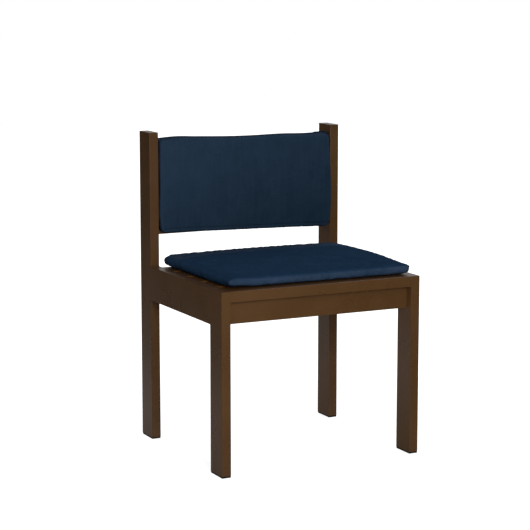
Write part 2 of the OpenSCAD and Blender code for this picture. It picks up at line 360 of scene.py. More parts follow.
def makeCloth(name, cloth, shade):
    material, tree, shader, place = newMaterial(name)
    uv = tree.nodes.new("ShaderNodeUVMap")
    uv.uv_map = "cloth"
    weave = useGroup(tree, wovenCloth, Cloth=uv.outputs[0], Place=place, Streak_stretch=shade["stretch"],
                     Streak_scale=cloth["streakScale"], Yarn_pitch=cloth["yarnPitch"],
                     Patch_scale=shade["patchScale"])
    # Painted light and shade: the tone rises in a straight slope across the piece
    away = vectorCalc(tree, "SUBTRACT", a=place, b=shade["paintedLightFrom"])
    tone = vectorCalc(tree, "DOT_PRODUCT", a=away, b=shade["paintedLightSlope"])
    for output, share in cloth["toneShares"].items():
        tone = calc(tree, "MULTIPLY_ADD", weave[output], share, tone)
    tone = ranged(tree, tone, *cloth["toneSpan"], 0.0, 1.0)
    colour = mixed(tree, tone, shade["dark"], shade["light"])
    # Painted light: the colour is mixed towards a lighter one where the mesh's mask marks it
    paintedLightAttribute = tree.nodes.new("ShaderNodeAttribute")
    paintedLightAttribute.attribute_name = "paintedLight"
    paintedLightShare = ranged(tree, weave["Patch tone"], *cloth["paintedLightPatch"], cloth["paintedLightLeast"], 1.0)
    paintedLight = calc(tree, "MULTIPLY", paintedLightAttribute.outputs["Fac"], paintedLightShare)
    tree.links.new(mixed(tree, paintedLight, colour, shade["paintedLight"]), shader.inputs["Base Color"])
    shader.inputs["Roughness"].default_value = cloth["roughness"]
    shader.inputs["Specular IOR Level"].default_value = cloth["specular"]
    bump(tree, shader, weave["Height"], cloth["weaveDepth"], cloth["weaveStrength"])
    return material


hemThread = {
    "colour": (0.017, 0.033, 0.058, 1),
    "twistPitch": 0.0008,
    "twistDepth": 0.00008,
    "twistStrength": 0.6,
    "roughness": 0.6,
    "specular": 0.2,
}


def makeThread(fibre):
    # Twisted thread: a slanting sine ridge over its length, about three to a stitch
    material, tree, shader, place = newMaterial("navy thread")
    split = tree.nodes.new("ShaderNodeSeparateXYZ")
    tree.links.new(place, split.inputs[0])
    slant = calc(tree, "ADD", split.outputs[0], split.outputs[2])
    twist = calc(tree, "SINE", calc(tree, "MULTIPLY", slant, 2 * math.pi / fibre["twistPitch"]))
    ridge = ranged(tree, twist, -1.0, 1.0, 0.0, 1.0)
    shader.inputs["Base Color"].default_value = fibre["colour"]
    shader.inputs["Roughness"].default_value = fibre["roughness"]
    shader.inputs["Specular IOR Level"].default_value = fibre["specular"]
    bump(tree, shader, ridge, fibre["twistDepth"], fibre["twistStrength"])
    return material


bronze = makeBronze(bronzeCoat)
nylon = makeNylon(glideNylon)
seatNavy = makeCloth("navy seat cloth", padCloth, seatTone)
backNavy = makeCloth("navy back cloth", padCloth, backTone)
thread = makeThread(hemThread)

for name, node in nodes.items():
    node.data.materials.clear()
    node.data.materials.append(nylon if name.startswith("foot_glide") else bronze)
print("materials made")


def boxOf(name):
    # Corners of a CAD node in millimetres
    return [np.array(corner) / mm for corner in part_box(name)]


def smoothStep(t):
    # 3 t ** 2 - 2 t ** 3, and 0 before it and 1 after it
    t = np.clip(t, 0, 1)
    return t * t * (3 - 2 * t)


# Sewn pads: a face and a back panel, each a grid, and a side strip of rows between them

def padLayout(nx, ny, rows):
    # Point numbers of both panels and of the strip, the walk round a panel's edge, and all the quads
    face = np.arange((nx + 1) * (ny + 1)).reshape(nx + 1, ny + 1)
    back = face + face.size
    i = np.concatenate([np.arange(nx), np.full(ny, nx), np.arange(nx, 0, -1), np.zeros(ny, int)])
    j = np.concatenate([np.zeros(nx, int), np.arange(ny), np.full(nx, ny), np.arange(ny, 0, -1)])
    between = 2 * face.size + np.arange((rows - 1) * len(i)).reshape(rows - 1, -1)
    side = np.vstack([back[i, j], between, face[i, j]])
    quads = [cells(face), cells(back)[:, ::-1], cells(closedLoop(side.T))]
    return face, back, side, (i, j), np.concatenate(quads)


def shoulder(pad, cloth):
    # Distances inwards, on the arc and on the level, after a length of cloth from the seam. The arc has the
    # radius shoulderR and runs from the angle lean to level
    lean = math.radians(pad["lean"])
    turn = np.maximum(lean - cloth / pad["shoulderR"], 0)
    arc = pad["shoulderR"] * (math.sin(lean) - np.sin(turn))
    return arc, np.maximum(cloth - pad["shoulderR"] * lean, 0)


def padPlan(pad, count, half, squeeze):
    # Plan places and cloth lengths of a panel's grid lines, from one side to the other. The shoulder's
    # width is squeezed where the pad stands between two posts
    lean = math.radians(pad["lean"])
    clothHalf = half + pad["shoulderR"] * (lean - squeeze * math.sin(lean))
    cloth = clothHalf * gradedLine(count, pad["ease"])
    arc, level = shoulder(pad, clothHalf - np.abs(cloth))
    return np.sign(cloth) * (half - squeeze * arc - level), cloth


def roundCorners(pad, x, y, a, b):
    # Squares round a corner become arcs: a point keeps its larger distance and moves onto that circle
    r = pad["cornerR"]
    p, q = np.maximum(np.abs(x) - a + r, 0), np.maximum(np.abs(y) - b + r, 0)
    pull = 1 - np.maximum(p, q) / np.maximum(np.hypot(p, q), 1e-9)
    return x - np.sign(x) * p * pull, y - np.sign(y) * q * pull


def drawIn(pad, x, y, a, b):
    # Each side is pulled in between its corners by a parabola along it, which fades inwards as the fourth
    # power of the share of the way from the middle
    pull = pad["draw"]
    inX = np.sign(x) * pull * np.abs(x / a) ** 4 * (1 - np.minimum((y / b) ** 2, 1))
    inY = np.sign(y) * pull * np.abs(y / b) ** 4 * (1 - np.minimum((x / a) ** 2, 1))
    return x - inX, y - inY


def lowSeamRow(rows):
    # A third of the side's rows lie below its lower seam
    return rows // 3


def sideCurve(pad, rows, axis):
    # Up the side: from under the pad out to its lower seam along a line that rises by t ** 1.5, then up
    # the band between the seams, which bulges as a parabola. Gives the rows' places outwards and heights
    under, lowIn, overIn = (pad[key][axis] for key in ("underIn", "lowIn", "overIn"))
    low = np.linspace(0, 1, lowSeamRow(rows) + 1)[:-1]
    band = np.linspace(-1, 1, rows - lowSeamRow(rows) + 1)
    out = np.concatenate([-under + (under - lowIn) * low, -np.where(band < 0, lowIn, overIn) * band ** 2])
    z = np.concatenate([pad["lowSeamZ"] * low ** 1.5,
                        pad["lowSeamZ"] + (pad["seamZ"] - pad["lowSeamZ"]) * (band + 1) / 2])
    return out, z


def padShape(pad, nx, ny, rows):
    # Points of a pad lying on its back. From the seam the face rises along the shoulder's arc and then
    # over the crown; the side strip follows the side curve between the pad's lower and upper outline
    face, back, side, (i, j), quads = padLayout(nx, ny, rows)
    outX, height = sideCurve(pad, rows, 0)
    outY, height = sideCurve(pad, rows, 1)
    a, b = pad["halfX"] - pad["overIn"][0], pad["halfY"] - pad["overIn"][1]
    x, clothX = padPlan(pad, nx, a, pad["squeeze"][0])
    y, clothY = padPlan(pad, ny, b, pad["squeeze"][1])
    x, y = np.meshgrid(x, y, indexing="ij")
    edge = np.minimum((a - np.abs(x)) / pad["squeeze"][0], (b - np.abs(y)) / pad["squeeze"][1])
    lean = math.radians(pad["lean"])
    rest = np.clip(math.sin(lean) - edge / pad["shoulderR"], 0, 1)
    rise = pad["shoulderR"] * (np.sqrt(1 - rest ** 2) - math.cos(lean))
    u, v = 1 - (x / a) ** 2, 1 - (y / b) ** 2
    across, along, middle = pad["crownShares"]
    crown = pad["crown"] * (across * u + along * v + middle * u * v)
    planX, planY = drawIn(pad, *roundCorners(pad, x, y, a, b), a, b)
    underX, underY = np.array(pad["underIn"]) - pad["overIn"]
    points = np.zeros((2 * face.size + (rows - 1) * len(i), 3))
    top = np.stack([planX, planY, pad["seamZ"] + rise + crown], axis=-1)
    bottom = np.stack([planX * (1 - underX / a), planY * (1 - underY / b), 0 * planX], axis=-1)
    points[face.ravel()] = top.reshape(-1, 3)
    points[back.ravel()] = bottom.reshape(-1, 3)
    # Every row of the side is the upper outline, widened or narrowed by its place outwards
    high = top[i, j]
    walk = np.roll(high, -1, axis=0) - np.roll(high, 1, axis=0)
    outward = np.stack([walk[:, 1], -walk[:, 0], np.zeros(len(walk))], axis=1)
    outward /= np.linalg.norm(outward, axis=1, keepdims=True)
    wide = high[:, 0] * (1 + (outX[:, None] + pad["overIn"][0]) / a)
    deep = high[:, 1] * (1 + (outY[:, None] + pad["overIn"][1]) / b)
    strip = np.stack(np.broadcast_arrays(wide, deep, height[:, None]), axis=-1)
    points[side[1:-1].ravel()] = strip[1:-1].reshape(-1, 3)
    # Towards its front the pad is thinner, by a share that changes along X
    front = smoothStep((-points[:, 1] / b - pad["thinFrom"]) / (1 - pad["thinFrom"]))
    points[:, 2] *= 1 - curveThrough(pad["frontThin"], points[:, 0]) * front
    # Its front left corner curls up: a bell curve of the distance from it
    apart = np.hypot(points[:, 0] + a, points[:, 1] + b)
    points[:, 2] += pad["curl"] * np.exp(-(apart / pad["curlReach"]) ** 2)
    # Cloth lengths of each panel, for the weave
    panel = np.stack(np.meshgrid(clothX, clothY, indexing="ij"), axis=-1)
    step = np.linalg.norm(np.diff(closedLoop(high), axis=0), axis=1)
    walked = np.concatenate([[0], np.cumsum(step)])
    tall = np.concatenate([[0], np.cumsum(np.hypot(np.diff(outY), np.diff(height)))])
    stripCloth = np.stack(np.meshgrid(walked, tall, indexing="ij"), axis=-1)
    uv = np.concatenate([cells(panel), cells(panel)[:, ::-1], cells(stripCloth)])
    return {"points": points, "quads": quads, "uv": uv, "face": face, "back": back, "side": side,
            "edge": edge, "outward": outward, "fromFront": y + b, "fromRear": b - y,
            "seamShare": np.where(a - np.abs(x) < b - np.abs(y), pad["sideSeam"], 1.0),
            "toSeam": np.minimum(tall[-1] - tall, np.abs(tall - tall[lowSeamRow(rows)]))}


def smoothed(grid, passes, closed):
    # Averages every point with its neighbours along both ways, again and again
    for _ in range(passes):
        for axis in (0, 1):
            if closed and axis == 1:
                before, after = np.roll(grid, 1, axis), np.roll(grid, -1, axis)
            else:
                n = grid.shape[axis]
                before = np.take(grid, np.maximum(np.arange(n) - 1, 0), axis)
                after = np.take(grid, np.minimum(np.arange(n) + 1, n - 1), axis)
            grid = (before + 2 * grid + after) / 4
    return grid


def doubled(grid, axis, closed=False):
    # Twice the cells along one way: a new point has 9/16 of its neighbours less 1/16 of the next two
    grid = np.moveaxis(grid, axis, 0)
    n = len(grid)
    k = np.arange(n if closed else n - 1)
    pick = (lambda m: grid[m % n]) if closed else (lambda m: grid[np.clip(m, 0, n - 1)])
    new = (9 * (pick(k) + pick(k + 1)) - pick(k - 1) - pick(k + 2)) / 16
    out = np.zeros((len(grid) + len(new),) + grid.shape[1:])
    out[0::2], out[1::2] = grid, new
    return np.moveaxis(out, 0, axis)


clothSim = {
    "quality": 6,
    "mass": 0.3,
    "stiffness": 15,
    "bending": 0.5,
    "pressure": 4,
    "frames": 20,
    "smoothing": 24,  # passes that part the folds from the pad's own shape
}


def clothRun(name, points, quads, pinned, excess):
    # Swells the pad under pressure as cloth that is a little too large for it, held where it is pinned
    mesh = bpy.data.meshes.new(name)
    mesh.from_pydata((points * mm).tolist(), [], quads.tolist())
    obj = bpy.data.objects.new(name, mesh)
    scene = bpy.context.scene
    scene.collection.objects.link(obj)
    group = obj.vertex_groups.new(name="pinned")
    group.add(pinned.tolist(), 1.0, "REPLACE")
    cloth = obj.modifiers.new("cloth", "CLOTH").settings
    cloth.quality = clothSim["quality"]
    cloth.mass = clothSim["mass"]
    cloth.tension_stiffness = cloth.compression_stiffness = clothSim["stiffness"]
    cloth.bending_stiffness = clothSim["bending"]
    cloth.use_pressure = True
    cloth.uniform_pressure_force = clothSim["pressure"]
    cloth.shrink_min = -excess
    cloth.effector_weights.gravity = 0
    cloth.vertex_group_mass = "pinned"
    for f in range(1, clothSim["frames"] + 1):
        scene.frame_set(f)
    swollen = obj.evaluated_get(bpy.context.evaluated_depsgraph_get())
    moved = np.zeros(len(points) * 3, np.float32)
    swollen.data.vertices.foreach_get("co", moved)
    scene.frame_set(1)
    bpy.data.objects.remove(obj)
    return moved.reshape(-1, 3).astype(float) / mm - points


def wrinkles(pad, name, nx, ny, rows):
    # The simulated cloth's own folds, for a grid of twice as many cells: what the swollen pad departs from
    # its smoothed shape, softly capped. The pad's size stays with its crown
    coarse = padShape(pad, nx, ny, rows)
    face, back, side = coarse["face"], coarse["back"], coarse["side"]
    pinned = np.unique(np.concatenate([back.ravel(), side[0], side[-1]]))
    moved = clothRun(name, coarse["points"], coarse["quads"], pinned, pad["clothExcess"])
    folds = []
    for index, closed in ((face, False), (side, True)):
        field = moved[index]
        field = field - smoothed(field, clothSim["smoothing"], closed)
        size = np.linalg.norm(field, axis=-1, keepdims=True)
        folds.append(field / (1 + size / pad["foldCap"]))
    print(name, "cloth moved", round(float(np.abs(moved).max()), 2), "mm, folds",
          [round(float(np.abs(f).max()), 2) for f in folds])
    return doubled(doubled(folds[0], 0), 1), doubled(doubled(folds[1], 0), 1, closed=True)


def seamGroove(pad, distance):
    # Depth of the valley along a seam, a bell curve of the distance from it
    return pad["seamDepth"] * np.exp(-(distance / pad["seamWidth"]) ** 2)


gathers = np.array([(97, 1, 0), (143, 0.7, 1.3), (211, 0.5, 0.4)])  # waves round a pad, share and phase


def pucker(pad, count, distance):
    # Small gathers along a seam: sine waves round the pad, fading away from the seam
    turn = np.linspace(0, 2 * np.pi, count, endpoint=False)[:, None]
    waves, share, phase = gathers.T
    height = (share * np.sin(waves * turn + phase)).sum(axis=1) / share.sum()
    return pad["puckerDepth"] * height * np.exp(-distance / pad["puckerReach"])


def sewPad(pad, name, place):
    # Fine pad with its folds and seams, moved to its place. place turns points of the pad into the chair's
    nx, ny, rows = pad["cells"]
    made = padShape(pad, 2 * nx, 2 * ny, 2 * rows)
    points, face, side = made["points"], made["face"], made["side"]
    faceFolds, sideFolds = wrinkles(pad, name + "_rough", nx, ny, rows)
    points[face.ravel()] += faceFolds.reshape(-1, 3)
    points[side[1:-1].ravel()] += sideFolds[1:-1].reshape(-1, 3)
    # Seams
    points[face.ravel(), 2] -= (seamGroove(pad, made["edge"]) * made["seamShare"]).ravel()
    gather = np.stack([pucker(pad, side.shape[1], d) for d in made["toSeam"][1:-1]])
    points[side[1:-1]] -= made["outward"] * gather[..., None]
    share = pad["sideSeam"] + (1 - pad["sideSeam"]) * made["outward"][:, 1:2] ** 2
    points[side] -= made["outward"] * share * seamGroove(pad, made["toSeam"])[:, None, None]
    if pad["hemLine"]:
        valley = np.exp(-((made["fromFront"] - pad["hemLine"]) / pad["seamWidth"]) ** 2)
        points[face.ravel(), 2] -= pad["hemDepth"] * valley.ravel()
    points[:, 2] = np.maximum(points[:, 2], 0)
    # Painted light, laid as a lighter cloth colour: a painted highlight on the side strip where it faces
    # the pad's given way, a narrow rim of the face, and a painted pool of light across the face's rear
    paintedLight = np.zeros(len(points))
    paintedLight[side] = np.clip(made["outward"] @ pad["paintedLightWay"], 0, 1) ** 0.5
    rim = pad["rimPaintedLight"] * np.exp(-made["edge"] / pad["rimWidth"])
    rear = pad["rearPaintedLight"] * (1 - smoothStep(made["fromRear"] / pad["rearBand"] - 1))
    paintedLight[face.ravel()] = np.maximum(rim, rear).ravel()
    return {"points": place(points) * mm, "quads": made["quads"], "uv": made["uv"] * mm, "paintedLight": paintedLight}


def nearSide(x, half):
    # 0 up to six tenths of the way from the pad's middle to its side, and 1 at the side
    return smoothStep((x / half - 0.6) / 0.4)


# Seat pad

seatLow, seatHigh = boxOf("seat_pad_cover")
seatMiddle = (seatLow + seatHigh) / 2
seatPad = {
    "halfX": (seatHigh[0] - seatLow[0]) / 2,
    "halfY": (seatHigh[1] - seatLow[1]) / 2,
    "cornerR": 9,
    "draw": 2,
    "seamZ": 26,  # heights of the two seams round the side
    "lowSeamZ": 5.5,
    "lean": 22,  # degrees that the face leans at its seam
    "shoulderR": 30,
    "squeeze": (1, 1),
    # Insets of the lower outline and of both seams: at the left and right, and at the front and rear
    "underIn": (15, 22),
    "lowIn": (2, 2),
    "overIn": (12, 1.5),
    "crown": 10,
    "crownShares": (0.3, 0.46, 0.24),
    "thinFrom": 1 / 11,  # share of the way from the middle to the front where it starts to thin
    "frontThin": [(-240, 0.2), (-140, 0.21), (80, 0.22), (150, 0.18), (200, 0.14), (240, 0.1)],
    "curl": 4,
    "curlReach": 45,
    "rightOut": 9.5,
    "rightOutFrom": 15,  # height from which its right side stands out, and over how much
    "rightOutOver": 8,
    "ease": 0.5,
    "seamDepth": 1.2,
    "seamWidth": 1.6,
    "puckerDepth": 0.3,
    "puckerReach": 4,
    "hemLine": 0,
    # Painted light: a painted highlight on the front of the side strip, and a painted pool of light across
    # the face's rear
    "paintedLightWay": (0, -1, 0),
    "rimPaintedLight": 0,
    "rimWidth": 3,
    "rearPaintedLight": 1.5,
    "rearBand": 55,
    "sideSeam": 0.3,  # share of the seam's depth at the left and right
    "cells": (92, 74, 6),
    "clothExcess": 0.02,  # share by which the cloth is too large for the pad
    "foldCap": 1.5,
}


def placeSeat(points):
    # At its right the pad's upper edge stands further out than at its left
    x, y, z = points.T
    high = smoothStep((z - seatPad["rightOutFrom"]) / seatPad["rightOutOver"])
    out = seatPad["rightOut"] * high * nearSide(x, seatPad["halfX"])
    return np.stack([x + out, y, z], axis=1) + (seatMiddle[0], seatMiddle[1], seatLow[2])


sewn = sewPad(seatPad, "seat_pad", placeSeat)
seatCushion = makePiece("seat_pad", sewn["points"], sewn["quads"], seatNavy, "seat_pad",
                        sewn["uv"], sewn["paintedLight"])
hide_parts("seat_pad_cover", "seat_pad_foam")
print("seat pad made")


# Back pad, and the hood that holds it on the slats

backLow, backHigh = boxOf("back_pad_cover")
backPad = {
    "halfX": (backHigh[0] - backLow[0]) / 2,
    "halfY": (backHigh[2] - backLow[2]) / 2,
    "cornerR": 9,
    "draw": 0,
    "seamZ": 19,
    "lowSeamZ": 4,
    "lean": 75,
    "shoulderR": 6,
    "squeeze": (0.9, 1.1),  # shares of the shoulder's width left at the sides, and at the top and bottom
    "underIn": (4, 4),
    "lowIn": (1.2, 1.2),
    "overIn": (0.6, 0.6),
    "crown": 3.5,
    "crownShares": (0.25, 0.55, 0.2),
    "thinFrom": 0,  # nothing thins or curls up at this pad's lower edge
    "frontThin": [(-240, 0), (240, 0)],
    "curl": 0,
    "curlReach": 1,
    "bulgeFrom": 13,  # height from which its right side bulges over the post, and over how much
    "bulgeOver": 5,
    "ease": 0.5,
    "seamDepth": 0.9,
    "seamWidth": 1.5,
    "puckerDepth": 0.2,
    "puckerReach": 4,
    "hemLine": 9,
    "hemDepth": 2.2,
    # Painted sheen: the top of the side strip and a narrow rim of the face are painted lighter
    "paintedLightWay": (0, 1, 0),
    "rimPaintedLight": 0.7,
    "rimWidth": 2.5,
    "rearPaintedLight": 0,
    "rearBand": 1,
    "sideSeam": 0.2,
    "cells": (92, 46, 3),
    "clothExcess": 0.015,
    "foldCap": 1.2,
}
# Height of the pad's upper and lower edge along X: it sits a little higher at its left
upperEdge = [(-237, 741), (-211, 743.4), (-178, 745.2), (-115, 742.8), (-15, 739.4), (34, 739.1),
             (119, 740.2), (187, 738.8), (214, 739.4), (237, 739.8)]
lowerEdge = [(-237, 512.3), (-188, 512.6), (-120, 511.2), (-68, 509.6), (6, 508.2), (75, 506.6),
             (160, 504.6), (237, 501.8)]
# Distance that the sides are set in, along the share of the pad's height. Below 0 they bulge over a post
leftIn = [(0, 11), (0.04, 5.5), (0.1, 3.2), (0.5, 2.6), (1, 2.4)]
rightIn = [(0, 6.5), (0.04, 2.6), (0.08, -1), (0.14, -2), (0.6, -1.4), (0.75, 0.4), (0.88, 2), (0.95, 3),
           (1, 4.4)]


def placeBack(points):
    # The pad stands up between its lower and upper edge, and its sides are set in towards its middle
    x, y, z = points.T
    low, high = curveThrough(lowerEdge, x), curveThrough(upperEdge, x)
    share = (y / backPad["halfY"] + 1) / 2
    inward = np.where(x > 0, curveThrough(rightIn, share), curveThrough(leftIn, share))
    bulging = smoothStep((z - backPad["bulgeFrom"]) / backPad["bulgeOver"])
    inward = np.where(inward > 0, inward, inward * bulging) * nearSide(np.abs(x), backPad["halfX"])
    return np.stack([x - np.sign(x) * inward, backHigh[1] - z, low + share * (high - low)], axis=1)


sewn = sewPad(backPad, "back_pad", placeBack)
backCushion = makePiece("back_pad", sewn["points"], sewn["quads"], backNavy, "back_pad",
                        sewn["uv"], sewn["paintedLight"])
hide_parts("back_pad_cover", "back_pad_foam")

hoodLow, hoodHigh = boxOf("back_pad_hood")
hood = {
    "front": backHigh[1] - 8,  # it starts over the pad, 8 mm in
    "rear": hoodHigh[1],
    "half": hoodHigh[0] - 0.4,  # and ends 0.4 mm short of its box at both sides
    "thick": 2.5,
    "cornerR": 6,
    "hemDrop": 1.5,
    "hemWidth": 14,
    "hemThick": 0.9,
    "hemEdge": 1.2,
    "wave": 1.3,  # depth of the hanging cloth's waves, with their width and how they sway down the cloth
    "waveWidth": 41,
    "waveSway": 0.8,
    "swayHeight": 70,
    "waveFrom": 60,  # fall over which the waves reach their depth
    "earFrom": 207,  # the right end of the top is bunched up into an ear
    "earWidth": 6,
    "earRise": 1.5,
    "ease": 0.3,
    "cellsX": 150,
    "cellsTop": 16,
    "cellsCorner": 8,
    "cellsDrop": 76,
}


def hoodShape(hood):
    # Cloth that runs level from the pad, turns down over an arc and hangs in waves to its hem, which is
    # folded and so thicker. Its inside is the same surface a thickness in, and a narrow strip closes the
    # edge all round
    x = hood["half"] * gradedLine(hood["cellsX"], hood["ease"])
    r = hood["cornerR"]
    level = np.linspace(0, 1, hood["cellsTop"] + 1)
    arc = np.linspace(0, 1, hood["cellsCorner"] + 1)[1:]
    drop = np.linspace(0, 1, hood["cellsDrop"] + 1)[1:]
    zeros = np.zeros_like
    levelShare = np.concatenate([level, np.ones_like(arc), np.ones_like(drop)])
    angle = np.concatenate([zeros(level), arc, np.ones_like(drop)]) * np.pi / 2
    dropShare = np.concatenate([zeros(level), zeros(arc), drop])
    ear = hood["earRise"] * smoothStep((x - hood["earFrom"]) / hood["earWidth"])
    top = (curveThrough(upperEdge, x) + ear)[:, None]
    hem = curveThrough(lowerEdge, x)[:, None] - hood["hemDrop"]
    fall = dropShare * (top - r - hem)
    sway = hood["waveSway"] * np.sin(fall / hood["swayHeight"])
    wave = (1 + np.sin(x[:, None] / hood["waveWidth"] + sway)) / 2
    wave *= hood["wave"] * smoothStep(fall / hood["waveFrom"])
    hemStep = hood["hemThick"] * smoothStep((fall - (top - r - hem) + hood["hemWidth"]) / hood["hemEdge"])
    out = wave + hemStep
    y = hood["front"] + levelShare * (hood["rear"] - r - hood["front"]) + r * np.sin(angle)
    z = top - r + r * np.cos(angle) - fall
    waved = (x[:, None], y + out * np.sin(angle), z + out * np.cos(angle))
    outer = np.stack(np.broadcast_arrays(*waved), axis=-1)
    t = hood["thick"] + hemStep
    inner = outer - np.stack(np.broadcast_arrays(0, t * np.sin(angle), t * np.cos(angle)), axis=-1)
    face, back, side, (i, j), quads = padLayout(len(x) - 1, y.shape[-1] - 1, 2)
    points = np.zeros((quads.max() + 1, 3))
    points[face.ravel()] = outer.reshape(-1, 3)
    points[back.ravel()] = inner.reshape(-1, 3)
    rim = (outer[i, j] + inner[i, j]) / 2
    run = np.roll(rim, -1, axis=0) - np.roll(rim, 1, axis=0)
    outward = np.cross(run, outer[i, j] - inner[i, j])
    points[side[1]] = rim + outward / np.linalg.norm(outward, axis=1, keepdims=True) * hood["thick"] / 2
    length = np.concatenate([[0], np.cumsum(np.hypot(np.diff(y), np.diff(z[0])))])
    panel = np.stack(np.meshgrid(x, length, indexing="ij"), axis=-1)
    step = np.linalg.norm(np.diff(closedLoop(rim), axis=0), axis=1)
    walked = np.concatenate([[0], np.cumsum(step)])
    strip = np.stack(np.meshgrid(walked, (0, 1, 2), indexing="ij"), axis=-1)
    uv = np.concatenate([cells(panel), cells(panel)[:, ::-1], cells(strip)])
    return {"points": points * mm, "quads": quads, "uv": uv * mm, "outer": outer, "x": x, "length": length}


hung = hoodShape(hood)
hoodCloth = makePiece("back_pad_hood_cloth", hung["points"], hung["quads"], backNavy, "back_pad",
                      hung["uv"])
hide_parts("back_pad_hood")
print("back pad and hood made")


# Weld beads

welding = {
    "fillet": (2.6, 0.6),  # leg and bulge
    "flush": (3.4, 0.6),  # width and height of the flat beads
    "ground": (2.4, 0.12),
    "level": (3.4, 0.25),
    "filletRipple": 0.16,
    "flushRipple": 0.12,
    "levelRipple": 0.1,
    "rippleLength": 2.4,
    "rippleMiddle": 0.6,
    "arcPoints": 5,
    "filletRoot": 0.4,  # depths of each section's sunk point, and of the flat beads' edges
    "flatRoot": 0.6,
    "flatEdge": 0.05,
    "cellLength": 0.8,
    "endLength": 1.6,
    "endSize": 0.35,
    "shortOfTop": 0.3,
}


def roundBead(size, bulge):
    # Section of a fillet in its corner: a bulged line from leg to leg, and a point sunk in the corner
    t = np.linspace(0, 1, welding["arcPoints"])[:, None]
    arc = size * np.hstack([1 - t, t]) + bulge * 4 * t * (1 - t) / math.sqrt(2)
    return np.vstack([arc, [-welding["filletRoot"], -welding["filletRoot"]]])


def flatBead(width, height):
    # Section of a bead on a flat joint: a parabola across it, and a point sunk in the joint
    t = np.linspace(0, 1, welding["arcPoints"])
    arc = np.stack([(0.5 - t) * width, height * 4 * t * (1 - t) - welding["flatEdge"]], axis=1)
    return np.vstack([arc, [0, -welding["flatRoot"]]])


def beadAlong(start, end, legA, legB, section, ripple):
    # The section swept along a straight run, in ripples that are half sines, and small at both ends
    start, end, legA, legB = (np.array(v, float) for v in (start, end, legA, legB))
    length = np.linalg.norm(end - start)
    u = np.linspace(0, 1, int(length / welding["cellLength"]) + 2)
    wave = np.abs(np.sin(np.pi * u * length / welding["rippleLength"]))
    size = 1 + ripple * (wave - welding["rippleMiddle"])
    whole = smoothStep(np.minimum(u, 1 - u) * length / welding["endLength"])
    size *= welding["endSize"] + (1 - welding["endSize"]) * whole
    ring = section[:, :1] * legA + section[:, 1:] * legB
    points = (start + u[:, None] * (end - start))[:, None] + size[:, None, None] * ring
    index = np.arange(points.size // 3).reshape(points.shape[:2])
    loop = closedLoop(index.T)
    x, y = section.T
    turned = np.sum(x * np.roll(y, -1) - np.roll(x, -1) * y) * np.dot(np.cross(legA, legB), end - start)
    faces = cells(loop).tolist() + [index[0, ::-1].tolist(), index[-1].tolist()]
    if turned < 0:
        faces = [f[::-1] for f in faces]
    return points.reshape(-1, 3), faces


def frameWelds():
    # Every run of weld: its two ends, the two ways its section lies, the section and its ripple
    fillet = roundBead(*welding["fillet"])
    flush, ground, level = (flatBead(*welding[kind]) for kind in ("flush", "ground", "level"))
    coarse, fine, faint = (welding[kind + "Ripple"] for kind in ("fillet", "flush", "level"))
    down, up, ahead, behind = (0, 0, -1), (0, 0, 1), (0, -1, 0), (0, 1, 0)
    runs = []
    for side, word in ((-1, "left"), (1, "right")):
        inward, outward = (-side, 0, 0), (side, 0, 0)
        low, high = boxOf("side_rail_" + word)
        inner, outer = side * min(abs(low[0]), abs(high[0])), side * max(abs(low[0]), abs(high[0]))
        for y, along in ((low[1], behind), (high[1], ahead)):
            runs.append(((inner, y, low[2]), (outer, y, low[2]), along, down, fillet, coarse))
            runs.append(((outer, y, low[2]), (outer, y, high[2]), behind, outward, ground, 0))
        runs.append(((inner, low[1], high[2]), (outer, low[1], high[2]), behind, up, level, faint))
        runs.append(((inner, high[1], high[2]), (outer, high[1], high[2]), ahead, up, fillet, coarse))
        for name in nodes:
            if name.startswith(("seat_slat", "front_apron", "rear_apron")):
                low, high = boxOf(name)
                start, end = (inner, low[1], low[2]), (inner, high[1], low[2])
                runs.append((start, end, inward, down, fillet, coarse))
                for y, way in ((low[1], ahead), (high[1], behind)):
                    if name == "seat_slat_1" and way is ahead:
                        section = flush if side > 0 else ground
                        start, end = (inner, y, low[2]), (inner, y, high[2])
                        runs.append((start, end, outward, ahead, section, fine))
                    elif name != "front_apron" or way is behind:
                        start, end = (inner, y, low[2]), (inner, y, high[2] - welding["shortOfTop"])
                        runs.append((start, end, inward, way, fillet, coarse))
                if name == "seat_slat_1":
                    start, end = (inner, low[1], high[2]), (inner, high[1], high[2])
                    runs.append((start, end, outward, up, level, faint))
            elif name.startswith("back_slat"):
                low, high = boxOf(name)
                start, end = (inner, low[1], low[2]), (inner, high[1], low[2])
                runs.append((start, end, inward, down, fillet, coarse))
                if name != "back_slat_top":
                    start, end = (inner, low[1], high[2]), (inner, high[1], high[2])
                    runs.append((start, end, inward, up, fillet, coarse))
    return runs


def joined(parts):
    # Points and faces of many small solids as one mesh
    start, points, faces = 0, [], []
    for p, f in parts:
        points.append(p)
        faces += [[v + start for v in face] for face in f]
        start += len(p)
    return np.concatenate(points), faces


weldRuns = frameWelds()
weldPoints, weldFaces = joined([beadAlong(*run) for run in weldRuns])
makePiece("weld_beads", weldPoints * mm, weldFaces, bronze, "frame")
print("weld beads made:", len(weldRuns), "runs")


# Stitches along the hood's rear hem

stitching = {
    "fromHem": 12,
    "length": 2.4,
    "gap": 0.9,
    "thick": 0.7,
    "edge": 6,
    "sinkShare": 0.8,  # of half its thickness, at both ends of a stitch
}


